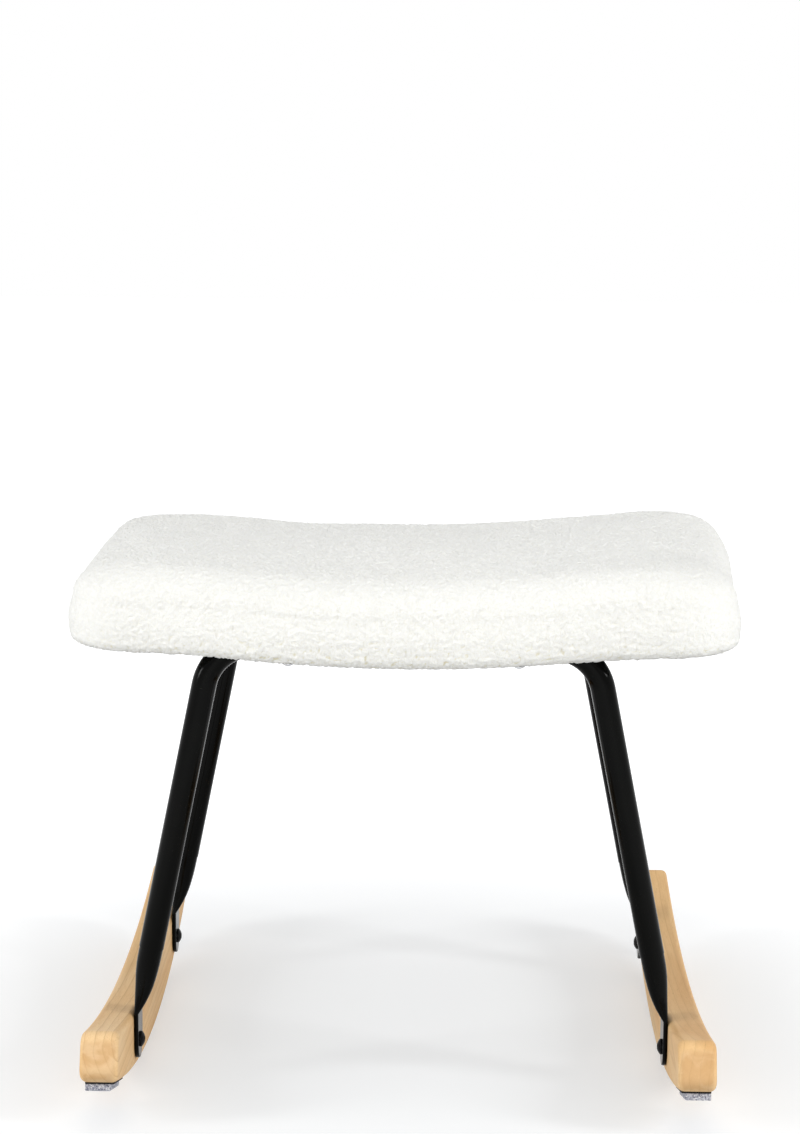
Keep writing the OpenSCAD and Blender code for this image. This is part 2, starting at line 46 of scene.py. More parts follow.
# Camera: place in metres, angles in radians, focal length for a sensor of 36 mm on the frame's long side
CAMERA_AT = (0.0427, -2.2875, 0.8235)
YAW, PITCH, ROLL = -0.0217, 0.16367, 0.00774
LENS = 79.365
SENSOR = 36


def make_camera():
    fwd = Vector((math.sin(YAW) * math.cos(PITCH), math.cos(YAW) * math.cos(PITCH), -math.sin(PITCH)))
    level = Vector((math.cos(YAW), -math.sin(YAW), 0))
    up = level.cross(fwd)
    right = level * math.cos(ROLL) + up * math.sin(ROLL)
    top = up * math.cos(ROLL) - level * math.sin(ROLL)
    data = bpy.data.cameras.new("camera")
    data.lens = LENS
    data.sensor_width = SENSOR
    camera = bpy.data.objects.new("camera", data)
    basis = Matrix((right, top, -fwd)).transposed().to_4x4()
    camera.matrix_world = Matrix.Translation(CAMERA_AT) @ basis
    bpy.context.scene.collection.objects.link(camera)
    bpy.context.scene.camera = camera


make_camera()
bpy.context.scene.view_settings.view_transform = "Standard"


# Node trees
class Tree:
    """A material's node tree, with short ways to add nodes and join them; scales count features per metre."""

    def __init__(self, name):
        self.material = bpy.data.materials.new(name)
        self.material.use_nodes = True
        self.tree = self.material.node_tree
        self.shader = self.tree.nodes["Principled BSDF"]
        self.coords = self.tree.nodes.new("ShaderNodeTexCoord").outputs["Object"]

    def join(self, source, target):
        if isinstance(source, (int, float, tuple)):
            target.default_value = source
        else:
            self.tree.links.new(source, target)

    def math(self, kind, a, b=0.0):
        n = self.tree.nodes.new("ShaderNodeMath")
        n.operation = kind
        self.join(a, n.inputs[0])
        self.join(b, n.inputs[1])
        return n.outputs[0]

    def vector(self, kind, a, b=(0, 0, 0), scale=None):
        n = self.tree.nodes.new("ShaderNodeVectorMath")
        n.operation = kind
        self.join(a, n.inputs[0])
        self.join(b, n.inputs[1])
        if scale is not None:
            self.join(scale, n.inputs["Scale"])
        return n.outputs[0]

    def parts(self, source):
        """The X, Y and Z of a vector."""
        n = self.tree.nodes.new("ShaderNodeSeparateXYZ")
        self.join(source, n.inputs[0])
        return n.outputs

    def mapping(self, source, scale=(1, 1, 1), rotation=(0, 0, 0), location=(0, 0, 0)):
        n = self.tree.nodes.new("ShaderNodeMapping")
        self.join(source, n.inputs["Vector"])
        n.inputs["Scale"].default_value = scale
        n.inputs["Rotation"].default_value = rotation
        n.inputs["Location"].default_value = location
        return n.outputs[0]

    def noise(self, source, scale, detail=2.0, rough=0.5, distortion=0.0, color=False):
        n = self.tree.nodes.new("ShaderNodeTexNoise")
        self.join(source, n.inputs["Vector"])
        n.inputs["Scale"].default_value = scale
        n.inputs["Detail"].default_value = detail
        n.inputs["Roughness"].default_value = rough
        n.inputs["Distortion"].default_value = distortion
        return n.outputs["Color" if color else "Fac"]

    def cells(self, source, scale, output="Distance", randomness=1.0):
        n = self.tree.nodes.new("ShaderNodeTexVoronoi")
        self.join(source, n.inputs["Vector"])
        n.inputs["Scale"].default_value = scale
        n.inputs["Randomness"].default_value = randomness
        return n.outputs[output]

    def spread(self, value, low, high, to_low=0.0, to_high=1.0):
        n = self.tree.nodes.new("ShaderNodeMapRange")
        n.interpolation_type = "SMOOTHSTEP"
        self.join(value, n.inputs["Value"])
        for limit, key in ((low, "From Min"), (high, "From Max"), (to_low, "To Min"), (to_high, "To Max")):
            self.join(limit, n.inputs[key])
        return n.outputs[0]

    def ramp(self, value, stops):
        n = self.tree.nodes.new("ShaderNodeValToRGB")
        band = n.color_ramp
        while len(band.elements) < len(stops):
            band.elements.new(0.5)
        for element, (place, colour) in zip(band.elements, stops):
            element.position = place
            element.color = (*colour, 1)
        self.join(value, n.inputs[0])
        return n.outputs[0]

    def mix(self, share, a, b):
        n = self.tree.nodes.new("ShaderNodeMix")
        n.data_type = "RGBA"
        self.join(share, n.inputs["Factor"])
        for value, key in ((a, "A"), (b, "B")):
            socket = next(s for s in n.inputs if s.name == key and s.type == "RGBA")
            self.join((*value, 1) if isinstance(value, tuple) else value, socket)
        return next(s for s in n.outputs if s.type == "RGBA")

    def bump(self, height, depth, strength):
        n = self.tree.nodes.new("ShaderNodeBump")
        n.inputs["Strength"].default_value = strength
        n.inputs["Distance"].default_value = depth
        self.join(height, n.inputs["Height"])
        return n.outputs[0]

    def finish(self, colour, rough, normal, **values):
        for value, key in ((colour, "Base Color"), (rough, "Roughness"), (normal, "Normal")):
            self.join(value, self.shader.inputs[key])
        for key, value in values.items():
            self.shader.inputs[key.replace("_", " ")].default_value = value
        return self.material


def linear(r, g, b):
    """A colour given in screen values from 0 to 255, as the shader takes it."""
    return tuple(((v / 255 + 0.055) / 1.055) ** 2.4 if v > 10 else v / 255 / 12.92 for v in (r, g, b))


# Pale hardwood: growth rings about an axis that runs along the runner, fibres, pores and a thin matt lacquer
RINGS_PER_M = 128.0
MIDDLE_GREY = (0.5, 0.5, 0.5)
WOOD_TONES = [(0.32, linear(227, 181, 124)), (0.5, linear(238, 198, 143)), (0.66, linear(243, 209, 160))]
LATE_WOOD, RING_LINE = linear(206, 158, 104), linear(172, 122, 74)
WOOD_STREAK, WOOD_FIBRE, WOOD_PORE = linear(208, 162, 108), linear(198, 150, 98), linear(140, 98, 60)
END_GRAIN_DARK, END_GRAIN_PALE = linear(204, 158, 108), linear(224, 188, 144)


def wood(name, ring_at, tilt, seed, figure):
    """The rings' centre in X and Z, the wood's turn, its shift along Y and the strength of its rings."""
    t = Tree(name)
    shifted = t.mapping(t.coords, rotation=tilt, location=(0, seed, 0))
    drift = t.noise(t.mapping(shifted, scale=(1, 0.1, 1)), 16, 2, color=True)
    wander = t.vector("SUBTRACT", drift, MIDDLE_GREY)
    x, _, z = t.parts(t.vector("ADD", shifted, t.vector("SCALE", wander, scale=0.009)))
    dx = t.math("SUBTRACT", x, ring_at[0])
    dz = t.math("SUBTRACT", z, ring_at[1])
    radius = t.math("SQRT", t.math("ADD", t.math("MULTIPLY", dx, dx), t.math("MULTIPLY", dz, dz)))
    uneven = t.noise(t.mapping(shifted, scale=(1, 0.02, 1)), 45, 1)
    phase = t.math("FRACT", t.math("ADD", t.math("MULTIPLY", radius, RINGS_PER_M), uneven))
    late = t.math("MULTIPLY", t.spread(phase, 0.25, 0.9), t.spread(phase, 1.0, 0.94))
    line = t.math("MULTIPLY", t.spread(phase, 0.82, 0.92), t.spread(phase, 0.99, 0.94))
    fibre = t.noise(t.mapping(shifted, scale=(1, 0.02, 1)), 1500, 4, 0.6)
    streak = t.noise(t.mapping(shifted, scale=(1, 0.03, 1)), 260, 3, 0.55)
    patch = t.noise(t.mapping(shifted, scale=(1, 0.2, 1)), 22, 2)
    pore_cells = t.cells(t.mapping(shifted, scale=(1, 0.1, 1)), 520)
    pore = t.math("MULTIPLY", t.spread(pore_cells, 0.2, 0.05), t.spread(t.noise(shifted, 60, 2), 0.48, 0.62))
    colour = t.mix(t.math("MULTIPLY", late, 0.6 * figure), t.ramp(patch, WOOD_TONES), LATE_WOOD)
    colour = t.mix(t.math("MULTIPLY", line, figure), colour, RING_LINE)
    colour = t.mix(t.spread(streak, 0.35, 0.75, 0, 0.22), colour, WOOD_STREAK)
    colour = t.mix(t.spread(fibre, 0.42, 0.75, 0, 0.25), colour, WOOD_FIBRE)
    colour = t.mix(t.math("MULTIPLY", pore, 0.45), colour, WOOD_PORE)
    facing = t.parts(t.tree.nodes.new("ShaderNodeNewGeometry").outputs["Normal"])["Y"]
    cut = t.spread(t.math("ABSOLUTE", facing), 0.6, 0.95, 0, 0.6)
    blotch = t.spread(t.noise(shifted, 55, 3, 0.6, 0.8), 0.4, 0.62)
    colour = t.mix(cut, colour, t.mix(blotch, END_GRAIN_DARK, END_GRAIN_PALE))
    rough = t.spread(fibre, 0.3, 0.8, 0.5, 0.62)
    sunk = t.math("ADD", pore, t.math("MULTIPLY", line, 0.25))
    height = t.math("SUBTRACT", t.math("MULTIPLY", fibre, 0.5), sunk)
    return t.finish(colour, rough, t.bump(height, 0.00008, 0.6), Specular_IOR_Level=0.2)


# Black powder coat: deep black with a fine orange peel and faint handling marks
def paint(name, shade, gloss, peel):
    """The colour, how rough it is and the depth of its orange peel in metres."""
    t = Tree(name)
    cloud = t.noise(t.coords, 35, 3)
    grain = t.noise(t.coords, 900, 2)
    scratch = t.noise(t.mapping(t.coords, scale=(1, 1, 0.06)), 700, 3)
    darker, paler = tuple(v * 0.8 for v in shade), tuple(v * 1.3 for v in shade)
    colour = t.mix(t.spread(cloud, 0.3, 0.7), darker, paler)
    marks = t.spread(scratch, 0.62, 0.75, 0, 0.05)
    rough = t.math("ADD", t.spread(cloud, 0.3, 0.7, gloss - 0.04, gloss + 0.05), marks)
    height = t.math("ADD", grain, t.math("MULTIPLY", t.noise(t.coords, 260, 1), 1.2))
    return t.finish(colour, rough, t.bump(height, peel, 0.5), Specular_IOR_Level=0.06)


# Plated metal with a soft mottled finish
def plated(name, shade, gloss):
    t = Tree(name)
    mottle = t.noise(t.coords, 420, 4, 0.6)
    colour = t.mix(t.spread(mottle, 0.3, 0.75), tuple(v * 0.82 for v in shade), shade)
    rough = t.spread(mottle, 0.3, 0.7, gloss - 0.07, gloss + 0.1)
    return t.finish(colour, rough, t.bump(mottle, 0.00003, 0.4), Metallic=1.0)


# Curly pile: small looped curls on top of the modelled nubs, with painted shade, darker and creamier, between
# the loops and in the gaps between the nubs near the rim, and a painted highlight on the raised strands
PILE_TONES = [(0.35, linear(249, 249, 247)), (0.65, linear(252, 252, 250))]
# Painted shade colours for between the loops and for the gaps between the nubs, and a painted highlight
# colour for the strands
PILE_HOLLOW_SHADE, PILE_GAP_SHADE, PILE_TIP_HIGHLIGHT = linear(243, 241, 230), linear(232, 226, 196), linear(253, 253, 251)
# Heights in metres between which the painted shade in the gaps between the nubs fades, from strong near the
# rim to faint on the top
GAP_SHADE_FADE_LOW, GAP_SHADE_FADE_HIGH = 0.395, 0.425


def curly_pile(name):
    t = Tree(name)
    swirl = t.vector("SUBTRACT", t.noise(t.coords, 320, 2, color=True), MIDDLE_GREY)
    p = t.vector("ADD", t.coords, t.vector("SCALE", swirl, scale=0.0035))
    loops = t.cells(p, 620)
    ring = t.math("ABSOLUTE", t.math("SUBTRACT", loops, 0.36))
    strand = t.noise(p, 1700, 3, 0.6)
    # Painted shade: the pile turns darker and creamier between its loops
    hollow = t.spread(loops, 0.4, 0.75)
    patch = t.noise(t.coords, 14, 2)
    colour = t.mix(t.math("MULTIPLY", hollow, 0.4), t.ramp(patch, PILE_TONES), PILE_HOLLOW_SHADE)
    # Painted shade in the gaps between the nubs, strong low on the seat near the rim and faint on the top
    curl = t.tree.nodes.new("ShaderNodeAttribute")
    curl.attribute_name = "curl"
    low = t.spread(t.parts(t.coords)["Z"], GAP_SHADE_FADE_LOW, GAP_SHADE_FADE_HIGH, 0.9, 0.08)
    gap_shade = t.math("MULTIPLY", t.spread(curl.outputs["Fac"], 0.45, 0.1), low)
    colour = t.mix(gap_shade, colour, PILE_GAP_SHADE)
    # Painted highlight: the pile turns paler where the fine strands stand up
    colour = t.mix(t.spread(strand, 0.5, 0.8, 0, 0.3), colour, PILE_TIP_HIGHLIGHT)
    height = t.math("SUBTRACT", t.math("MULTIPLY", strand, 0.45), t.math("MULTIPLY", ring, 1.6))
    return t.finish(colour, t.spread(strand, 0.3, 0.7, 0.84, 0.96), t.bump(height, 0.0006, 0.7),
                    Sheen_Weight=0.2, Sheen_Roughness=0.6, Specular_IOR_Level=0.1)


# Needled felt of mixed grey, pale and dark fibres
FELT_TONES = [(0.0, linear(96, 98, 116)), (0.22, linear(140, 142, 158)), (0.5, linear(172, 174, 188)),
              (0.8, linear(205, 206, 216)), (1.0, linear(228, 228, 232))]
FELT_FIBRE = linear(110, 112, 128)


def felt(name):
    t = Tree(name)
    fibres = t.noise(t.coords, 2600, 4, 0.65, 1.2)
    swirl = t.vector("SCALE", t.noise(t.coords, 900, 2, color=True), scale=0.001)
    specks = t.cells(t.vector("ADD", t.coords, swirl), 900, output="Color")
    tone = t.tree.nodes.new("ShaderNodeSeparateColor")
    t.join(specks, tone.inputs[0])
    colour = t.mix(t.spread(fibres, 0.45, 0.75, 0, 0.4), t.ramp(tone.outputs[0], FELT_TONES), FELT_FIBRE)
    return t.finish(colour, 0.95, t.bump(fibres, 0.0004, 0.8), Sheen_Weight=0.3, Specular_IOR_Level=0.1)


# Bonded black cloth with rows of embossed points
def bonded_cloth(name):
    t = Tree(name)
    points = t.cells(t.mapping(t.coords, scale=(1, 1, 0)), 480, randomness=0.0)
    fibres = t.noise(t.coords, 1700, 4, 0.7, 0.8)
    dimple = t.spread(points, 0.22, 0.4)
    colour = t.mix(t.spread(fibres, 0.4, 0.7), linear(22, 22, 23), linear(46, 46, 48))
    height = t.math("ADD", t.math("MULTIPLY", dimple, 0.6), t.math("MULTIPLY", fibres, 0.5))
    rough = t.spread(dimple, 0, 1, 0.62, 0.88)
    return t.finish(colour, rough, t.bump(height, 0.0003, 0.7), Sheen_Weight=0.15)


# Open-cell foam, darker in its pores as painted shade
def foam(name):
    t = Tree(name)
    pores = t.cells(t.coords, 1100)
    cloud = t.noise(t.coords, 30, 3)
    colour = t.mix(t.spread(cloud, 0.3, 0.7), linear(238, 228, 190), linear(246, 240, 214))
    # Painted shade: darker and yellower in the pores
    colour = t.mix(t.spread(pores, 0.35, 0.1, 0, 0.35), colour, linear(200, 186, 140))
    return t.finish(colour, 0.95, t.bump(pores, 0.0005, 0.8), Specular_IOR_Level=0.1)


# Plywood: thin plies of changing tone at the edges, rotary-cut figure on the faces
PLY_PAIRS_PER_M = 300.0
PLYWOOD_TONES = [(0.3, linear(214, 182, 138)), (0.5, linear(228, 199, 156)), (0.7, linear(202, 166, 120))]
PLY_DARK, PLYWOOD_FIBRE = linear(170, 128, 84), linear(176, 136, 92)


def plywood(name):
    t = Tree(name)
    ply = t.math("FRACT", t.math("MULTIPLY", t.parts(t.coords)["Z"], PLY_PAIRS_PER_M))
    figure = t.noise(t.mapping(t.coords, scale=(0.06, 1, 1)), 55, 4, 0.55, 1.4)
    fibre = t.noise(t.mapping(t.coords, scale=(0.03, 1, 1)), 900, 3)
    colour = t.mix(t.spread(ply, 0.45, 0.55, 0, 0.25), t.ramp(figure, PLYWOOD_TONES), PLY_DARK)
    colour = t.mix(t.spread(fibre, 0.45, 0.75, 0, 0.3), colour, PLYWOOD_FIBRE)
    return t.finish(colour, 0.78, t.bump(fibre, 0.0001, 0.6))


# Thin black foam tape, darkest in its pores as painted shade
def foam_tape(name):
    t = Tree(name)
    pores = t.cells(t.coords, 1600)
    # Painted shade: darkest in the pores
    colour = t.mix(t.spread(pores, 0.2, 0.6), linear(12, 11, 11), linear(34, 33, 33))
    return t.finish(colour, 0.8, t.bump(pores, 0.0002, 0.6), Specular_IOR_Level=0.2)


MATERIALS = {
    "frame_paint": paint("frame_paint", (0.0015, 0.0016, 0.0013), 0.13, 0.00002),
    "left_wood": wood("left_runner_wood", (-0.205, 0.075), (0.02, 0.0, 0.012), 0.31, 0.26),
    "right_wood": wood("right_runner_wood", (0.322, 0.064), (-0.03, 0.0, -0.02), 1.27, 0.16),
    "cover_fabric": curly_pile("curly_pile"),
    "foam": foam("upholstery_foam"),
    "board_wood": plywood("board_plywood"),
    "dust_cloth": bonded_cloth("bonded_cloth"),
    "staple_steel": plated("staple_steel", (0.62, 0.63, 0.65), 0.34),
    "zinc_steel": plated("zinc_steel", (0.66, 0.67, 0.69), 0.32),
    "insert_metal": plated("insert_metal", (0.72, 0.6, 0.36), 0.36),
    "black_steel": paint("black_steel", (0.006, 0.006, 0.0065), 0.26, 0.00001),
    "pad_tape": foam_tape("foam_tape"),
    "pad_felt": felt("pad_felt"),
}

# The CAD nodes that are shown as they are, under the look that each takes
NODE_LOOKS = {
    "frame_paint": ("front_frame", "rear_frame"),
    "board_wood": ("seat_board",),
    "staple_steel": ("cover_staples", "dust_cover_staples"),
    "zinc_steel": ("t_nuts", "seat_bolts"),
    "black_steel": ("saddle_washers", "left_runner_bolts", "right_runner_bolts"),
    "insert_metal": ("left_runner_inserts", "right_runner_inserts"),
    "pad_tape": ("front_left_tape", "front_right_tape", "rear_left_tape", "rear_right_tape"),
}
for node_look, node_names in NODE_LOOKS.items():
    for node_name in node_names:
        node_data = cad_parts[node_name].data
        node_data.materials.clear()
        node_data.materials.append(MATERIALS[node_look])


def make_piece(name, points, faces, look):
    """A mesh piece from points in millimetres, riding on the stool."""
    data = bpy.data.meshes.new(name)
    data.from_pydata((np.asarray(points, float) * MM).tolist(), [], [tuple(int(i) for i in f) for f in faces])
    data.validate()
    data.update()
    for polygon in data.polygons:
        polygon.use_smooth = True
    data.materials.append(MATERIALS[look])
    piece = bpy.data.objects.new(name, data)
    bpy.context.scene.collection.objects.link(piece)
    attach(piece, "root")
    return piece


# Seat sizes in millimetres, as in the CAD source
SEAT_W, SEAT_D, CORNER_R, SEAT_T = 585.0, 410.0, 64.0, 72.0
CROWN, ROUND_H, ROUND_W = 5.0, 30.0, 42.0
RIM_R, SWELL, DRAW, RIM_DROP, COVER_T = 11.0, 1.5, 2.5, 17.0, 3.0
DISH_RISE, DISH_TURN, DISH_REACH = 12.0, 140.0, 255.0
BOARD_H, BOARD_T, BOARD_INSET = 406.5, 12.0, 18.0
HEM_END, ROLL_INSET, SOFT_GAP = 39.0, 28.0, 0.3
TOP_INSET = DRAW + ROUND_W
RIM_Z = BOARD_H - RIM_DROP
HEM_H = RIM_DROP - SOFT_GAP - COVER_T
HEM = np.array([[HEM_END, HEM_H]])

DISH_ANGLE = 2 * math.atan(DISH_RISE / DISH_REACH)
DISH_R = DISH_TURN / math.sin(DISH_ANGLE)
RISE_R = (DISH_REACH - DISH_TURN) / math.sin(DISH_ANGLE)

# Steps of the coarse mesh along the seat's outline (half corner, long side, short side) and its section
HALF_CORNER, LONG_SIDE, SHORT_SIDE = 8, 76, 48
SECTION_STEPS = 26
CURVE_STEPS = 60
# Steps of the fine mesh for each coarse one
FINE = 4
# Steps of the coarse mesh along the length and depth of the seat's top
TOP_NX, TOP_NY = 2 * HALF_CORNER + LONG_SIDE, 2 * HALF_CORNER + SHORT_SIDE


def dish(x):
    """Rise of the seat's curve over its middle."""
    d = np.abs(x)
    low = DISH_R - np.sqrt(np.maximum(DISH_R**2 - d * d, 0))
    high = DISH_RISE - RISE_R + np.sqrt(np.maximum(RISE_R**2 - (DISH_REACH - d) ** 2, 0))
    return np.where(d <= DISH_TURN, low, np.where(d < DISH_REACH, high, DISH_RISE))


def outline(inset, n):
    """The seat's outline in plan, inset from its side, from the rear right corner round by the left."""
    a, b = SEAT_W / 2 - inset, SEAT_D / 2 - inset
    r = CORNER_R * (1 - inset / (SEAT_D / 2))
    half = HALF_CORNER * n
    points = []

    def arc(cx, cy, start):
        for i in range(half):
            angle = math.radians(start + 45 * i / half)
            points.append((cx + r * math.cos(angle), cy + r * math.sin(angle)))

    def line(x0, y0, x1, y1, count):
        for i in range(count):
            points.append((x0 + (x1 - x0) * i / count, y0 + (y1 - y0) * i / count))

    x, y = a - r, b - r
    arc(x, y, 45)
    line(x, b, -x, b, LONG_SIDE * n)
    arc(-x, y, 90)
    arc(-x, y, 135)
    line(-a, y, -a, -y, SHORT_SIDE * n)
    arc(-x, -y, 180)
    arc(-x, -y, 225)
    line(-x, -b, x, -b, LONG_SIDE * n)
    arc(x, -y, 270)
    arc(x, -y, 315)
    line(a, -y, a, y, SHORT_SIDE * n)
    arc(x, y, 0)
    return np.array(points)


def section(off, start, steps):
    """Insets and heights along the seat's section, evenly spaced, off inside its outer face."""
    s = np.linspace(0, 1, CURVE_STEPS)
    quarter = s * math.pi / 2
    roll_w = ROLL_INSET - RIM_R - off
    roll_h = HEM_H + min(off, COVER_T)
    side_h = SEAT_T - ROUND_H
    path = np.vstack([
        start,
        np.c_[RIM_R + roll_w * np.cos(quarter), off + (roll_h - off) * (1 - np.sin(quarter))],
        np.c_[RIM_R - (RIM_R - off) * np.sin(quarter), RIM_R - (RIM_R - off) * np.cos(quarter)],
        np.c_[off + DRAW * s - SWELL * np.sin(math.pi * s), RIM_R + (side_h - RIM_R) * s],
        np.c_[TOP_INSET - (ROUND_W - off) * np.cos(quarter), side_h + (ROUND_H - off) * np.sin(quarter)],
    ])
    length = np.r_[0, np.cumsum(np.hypot(*np.diff(path, axis=0).T))]
    at = np.linspace(0, length[-1], steps + 1)
    return np.c_[np.interp(at, length, path[:, 0]), np.interp(at, length, path[:, 1])]


def top_patch(ring, n):
    """Inner points of the grid that fills the top: a blend of the four sides of the ring round it."""
    nx, ny = TOP_NX * n, TOP_NY * n
    count = 2 * (nx + ny)
    rear, left = ring[: nx + 1], ring[nx : nx + ny + 1]
    front = ring[nx + ny : 2 * nx + ny + 1][::-1]
    right = ring[(count - np.arange(ny + 1)) % count]
    u = np.linspace(0, 1, nx + 1)[None, :, None]
    v = np.linspace(0, 1, ny + 1)[:, None, None]
    grid = (1 - v) * rear[None] + v * front[None] + (1 - u) * right[:, None] + u * left[:, None]
    grid = grid - (1 - u) * (1 - v) * rear[0] - u * (1 - v) * rear[-1]
    grid = grid - (1 - u) * v * front[0] - u * v * front[-1]
    return grid, nx, ny


def seat_skin(n, off, rows):
    """Points and quads of the seat's skin: rings from the hem to the top's edge, then the grid of the top."""
    count = len(outline(0, n))
    plan = np.stack([outline(inset, n) for inset, _ in rows])
    z = RIM_Z + dish(plan[..., 0]) + rows[:, 1][:, None]
    rings = np.dstack([plan, z])
    grid, nx, ny = top_patch(plan[-1], n)
    inner = grid[1:-1, 1:-1]
    x, y = inner[..., 0], inner[..., 1]
    tx, ty = x / (SEAT_W / 2 - TOP_INSET), y / (SEAT_D / 2 - TOP_INSET)
    crown = CROWN * np.maximum(1 - tx**2, 0) ** 2 * np.maximum(1 - ty**2, 0) ** 2
    top = np.dstack([inner, RIM_Z + dish(x) + SEAT_T - off + crown])
    points = np.vstack([rings.reshape(-1, 3), top.reshape(-1, 3)])
    number = np.zeros((ny + 1, nx + 1), int)
    base = (len(rows) - 1) * count
    number[0] = base + np.arange(nx + 1)
    number[:, -1] = base + nx + np.arange(ny + 1)
    number[-1] = base + nx + ny + np.arange(nx + 1)[::-1]
    number[:, 0] = base + (count - np.arange(ny + 1)) % count
    number[1:-1, 1:-1] = len(rows) * count + np.arange((nx - 1) * (ny - 1)).reshape(ny - 1, nx - 1)
    k = np.arange(len(rows) - 1)[:, None] * count
    i = np.arange(count)[None]
    j = (i + 1) % count
    quads = np.stack([k + i, k + j, k + count + j, k + count + i], -1).reshape(-1, 4)
    top_quads = np.stack([number[:-1, :-1], number[:-1, 1:], number[1:, 1:], number[1:, :-1]], -1)
    return points, np.vstack([quads, top_quads.reshape(-1, 4)]), count


def normals_of(points, quads):
    """Unit normals at the points, from the faces round each."""
    corners = points[quads]
    cross = np.cross(corners[:, 2] - corners[:, 0], corners[:, 3] - corners[:, 1])
    total = np.zeros_like(points)
    for c in range(4):
        np.add.at(total, quads[:, c], cross)
    return total / np.maximum(np.linalg.norm(total, axis=1, keepdims=True), 1e-12)


def refine(values, n, rings):
    """Values on the coarse skin carried to the skin with n times the steps."""
    nx, ny = TOP_NX, TOP_NY
    count = 2 * (nx + ny)
    band = values[: rings * count].reshape(rings, count, -1)
    band = np.concatenate([band, band[:, :1]], axis=1)

    def stretch(a, axis):
        size = a.shape[axis]
        at = np.linspace(0, size - 1, (size - 1) * n + 1)
        low = np.minimum(at.astype(int), size - 2)
        part = (at - low).reshape([-1 if d == axis else 1 for d in range(a.ndim)])
        return np.take(a, low, axis) * (1 - part) + np.take(a, low + 1, axis) * part

    band = stretch(stretch(band, 0), 1)[:, :-1]
    last = values[(rings - 1) * count : rings * count]
    grid = np.zeros((ny + 1, nx + 1, values.shape[1]))
    grid[0] = last[: nx + 1]
    grid[:, -1] = last[nx : nx + ny + 1]
    grid[-1] = last[nx + ny : 2 * nx + ny + 1][::-1]
    grid[:, 0] = last[(count - np.arange(ny + 1)) % count]
    grid[1:-1, 1:-1] = values[rings * count :].reshape(ny - 1, nx - 1, -1)
    grid = stretch(stretch(grid, 0), 1)[1:-1, 1:-1]
    return np.vstack([band.reshape(-1, values.shape[1]), grid.reshape(-1, values.shape[1])])


# The cloth run: pressure swells the cover between its hem and its edges, and the move of each point is capped
PRESSURE = 4.0
CLOTH_FRAMES = 20
PINNED_H = 14.0
SWELL_MOST = 1.8
SWELL_SOFT = 14.0
SWELL_FULL_H = 40.0


def swollen(points, quads, heights):
    """The move of each point of the coarse cover under pressure, in millimetres, eased and capped."""
    data = bpy.data.meshes.new("cloth_run")
    data.from_pydata((points * MM).tolist(), [], quads.tolist())
    data.update()
    cover = bpy.data.objects.new("cloth_run", data)
    bpy.context.scene.collection.objects.link(cover)
    pins = cover.vertex_groups.new(name="pins")
    pins.add([int(i) for i in np.flatnonzero(heights < PINNED_H)], 1.0, "REPLACE")
    cloth = cover.modifiers.new("cloth", "CLOTH")
    cloth.settings.vertex_group_mass = "pins"
    cloth.settings.quality = 6
    cloth.settings.mass = 0.3
    cloth.settings.tension_stiffness = 20
    cloth.settings.compression_stiffness = 20
    cloth.settings.bending_stiffness = 2
    cloth.settings.use_pressure = True
    cloth.settings.uniform_pressure_force = PRESSURE
    cloth.settings.effector_weights.gravity = 0
    cloth.point_cache.frame_start = 1
    cloth.point_cache.frame_end = CLOTH_FRAMES
    scene = bpy.context.scene
    for f in range(1, CLOTH_FRAMES + 1):
        scene.frame_set(f)
    shown = cover.evaluated_get(bpy.context.evaluated_depsgraph_get()).data
    after = np.empty(len(shown.vertices) * 3)
    shown.vertices.foreach_get("co", after)
    move = after.reshape(-1, 3) / MM - points
    scene.frame_set(1)
    bpy.data.objects.remove(cover)
    bpy.data.meshes.remove(data)
    outward = normals_of(points, quads)
    swell = SWELL_MOST * np.tanh((move * outward).sum(1) / SWELL_SOFT)
    rise = np.clip((heights - PINNED_H) / (SWELL_FULL_H - PINNED_H), 0, 1)
    return outward * (swell * rise * rise * (3 - 2 * rise))[:, None]


# Uneven stuffing: the most that it pushes, and the stretches over which each push grows, in millimetres
PUFF_RIGHT, PUFF_LEFT, PUFF_REAR, PUFF_UP, SLACK_DOWN = 14.0, 3.5, 4.0, 6.0, 4.0
SIDE_HIGH, SIDE_BACK, TOP_HIGH, TOP_BACK = (8, 45), (-160, 90), (20, 60), (-100, 120)
RIGHT_OUT, LEFT_OUT, CORNER_OUT, CORNER_BACK = (130, 285), (180, 285), (180, 285), (80, 190)
RISE_OUT, SLACK_OUT, SLACK_IN = (160, 270), (20, 120), (-290, -220)


def grown(value, low, high):
    """0 below low, 1 above high, with a smooth rise between the two."""
    share = np.clip((value - low) / (high - low), 0, 1)
    return share * share * (3 - 2 * share)


def stuffed(points):
    """How far stuffing pushes each point: the rear right corner is the fullest, the rear left edge slack."""
    x, y = points[:, 0], points[:, 1]
    high = points[:, 2] - RIM_Z - dish(x)
    side = grown(high, *SIDE_HIGH) * grown(y, *SIDE_BACK)
    top = grown(high, *TOP_HIGH) * grown(y, *TOP_BACK)
    slack = SLACK_DOWN * grown(-x, *SLACK_OUT) * grown(x, *SLACK_IN)
    push = np.zeros_like(points)
    push[:, 0] = side * (PUFF_RIGHT * grown(x, *RIGHT_OUT) - PUFF_LEFT * grown(-x, *LEFT_OUT))
    push[:, 1] = side * PUFF_REAR * grown(x, *CORNER_OUT) * grown(y, *CORNER_BACK)
    push[:, 2] = top * (PUFF_UP * grown(x, *RISE_OUT) - slack)
    return push


# Curls: rounded nubs of mixed sizes with narrow hollows between them; sizes in millimetres, then shares
NUB_SIZE, NUB_HEIGHT, NUB_WANDER, WANDER_SIZE, YARN_SIZE = 3.9, 1.8, 1.4, 9.0, 2.1
NUB_HOLLOW, NUB_ROUND, NUB_FOOT, YARN_SHARE, NUB_MEAN = 0.46, 0.95, 0.35, 0.3, 0.62
# Curls grow from this share of their height at the hem to all of it over these coarse steps
HEM_SHARE, HEM_STEPS = 0.25, 6.0


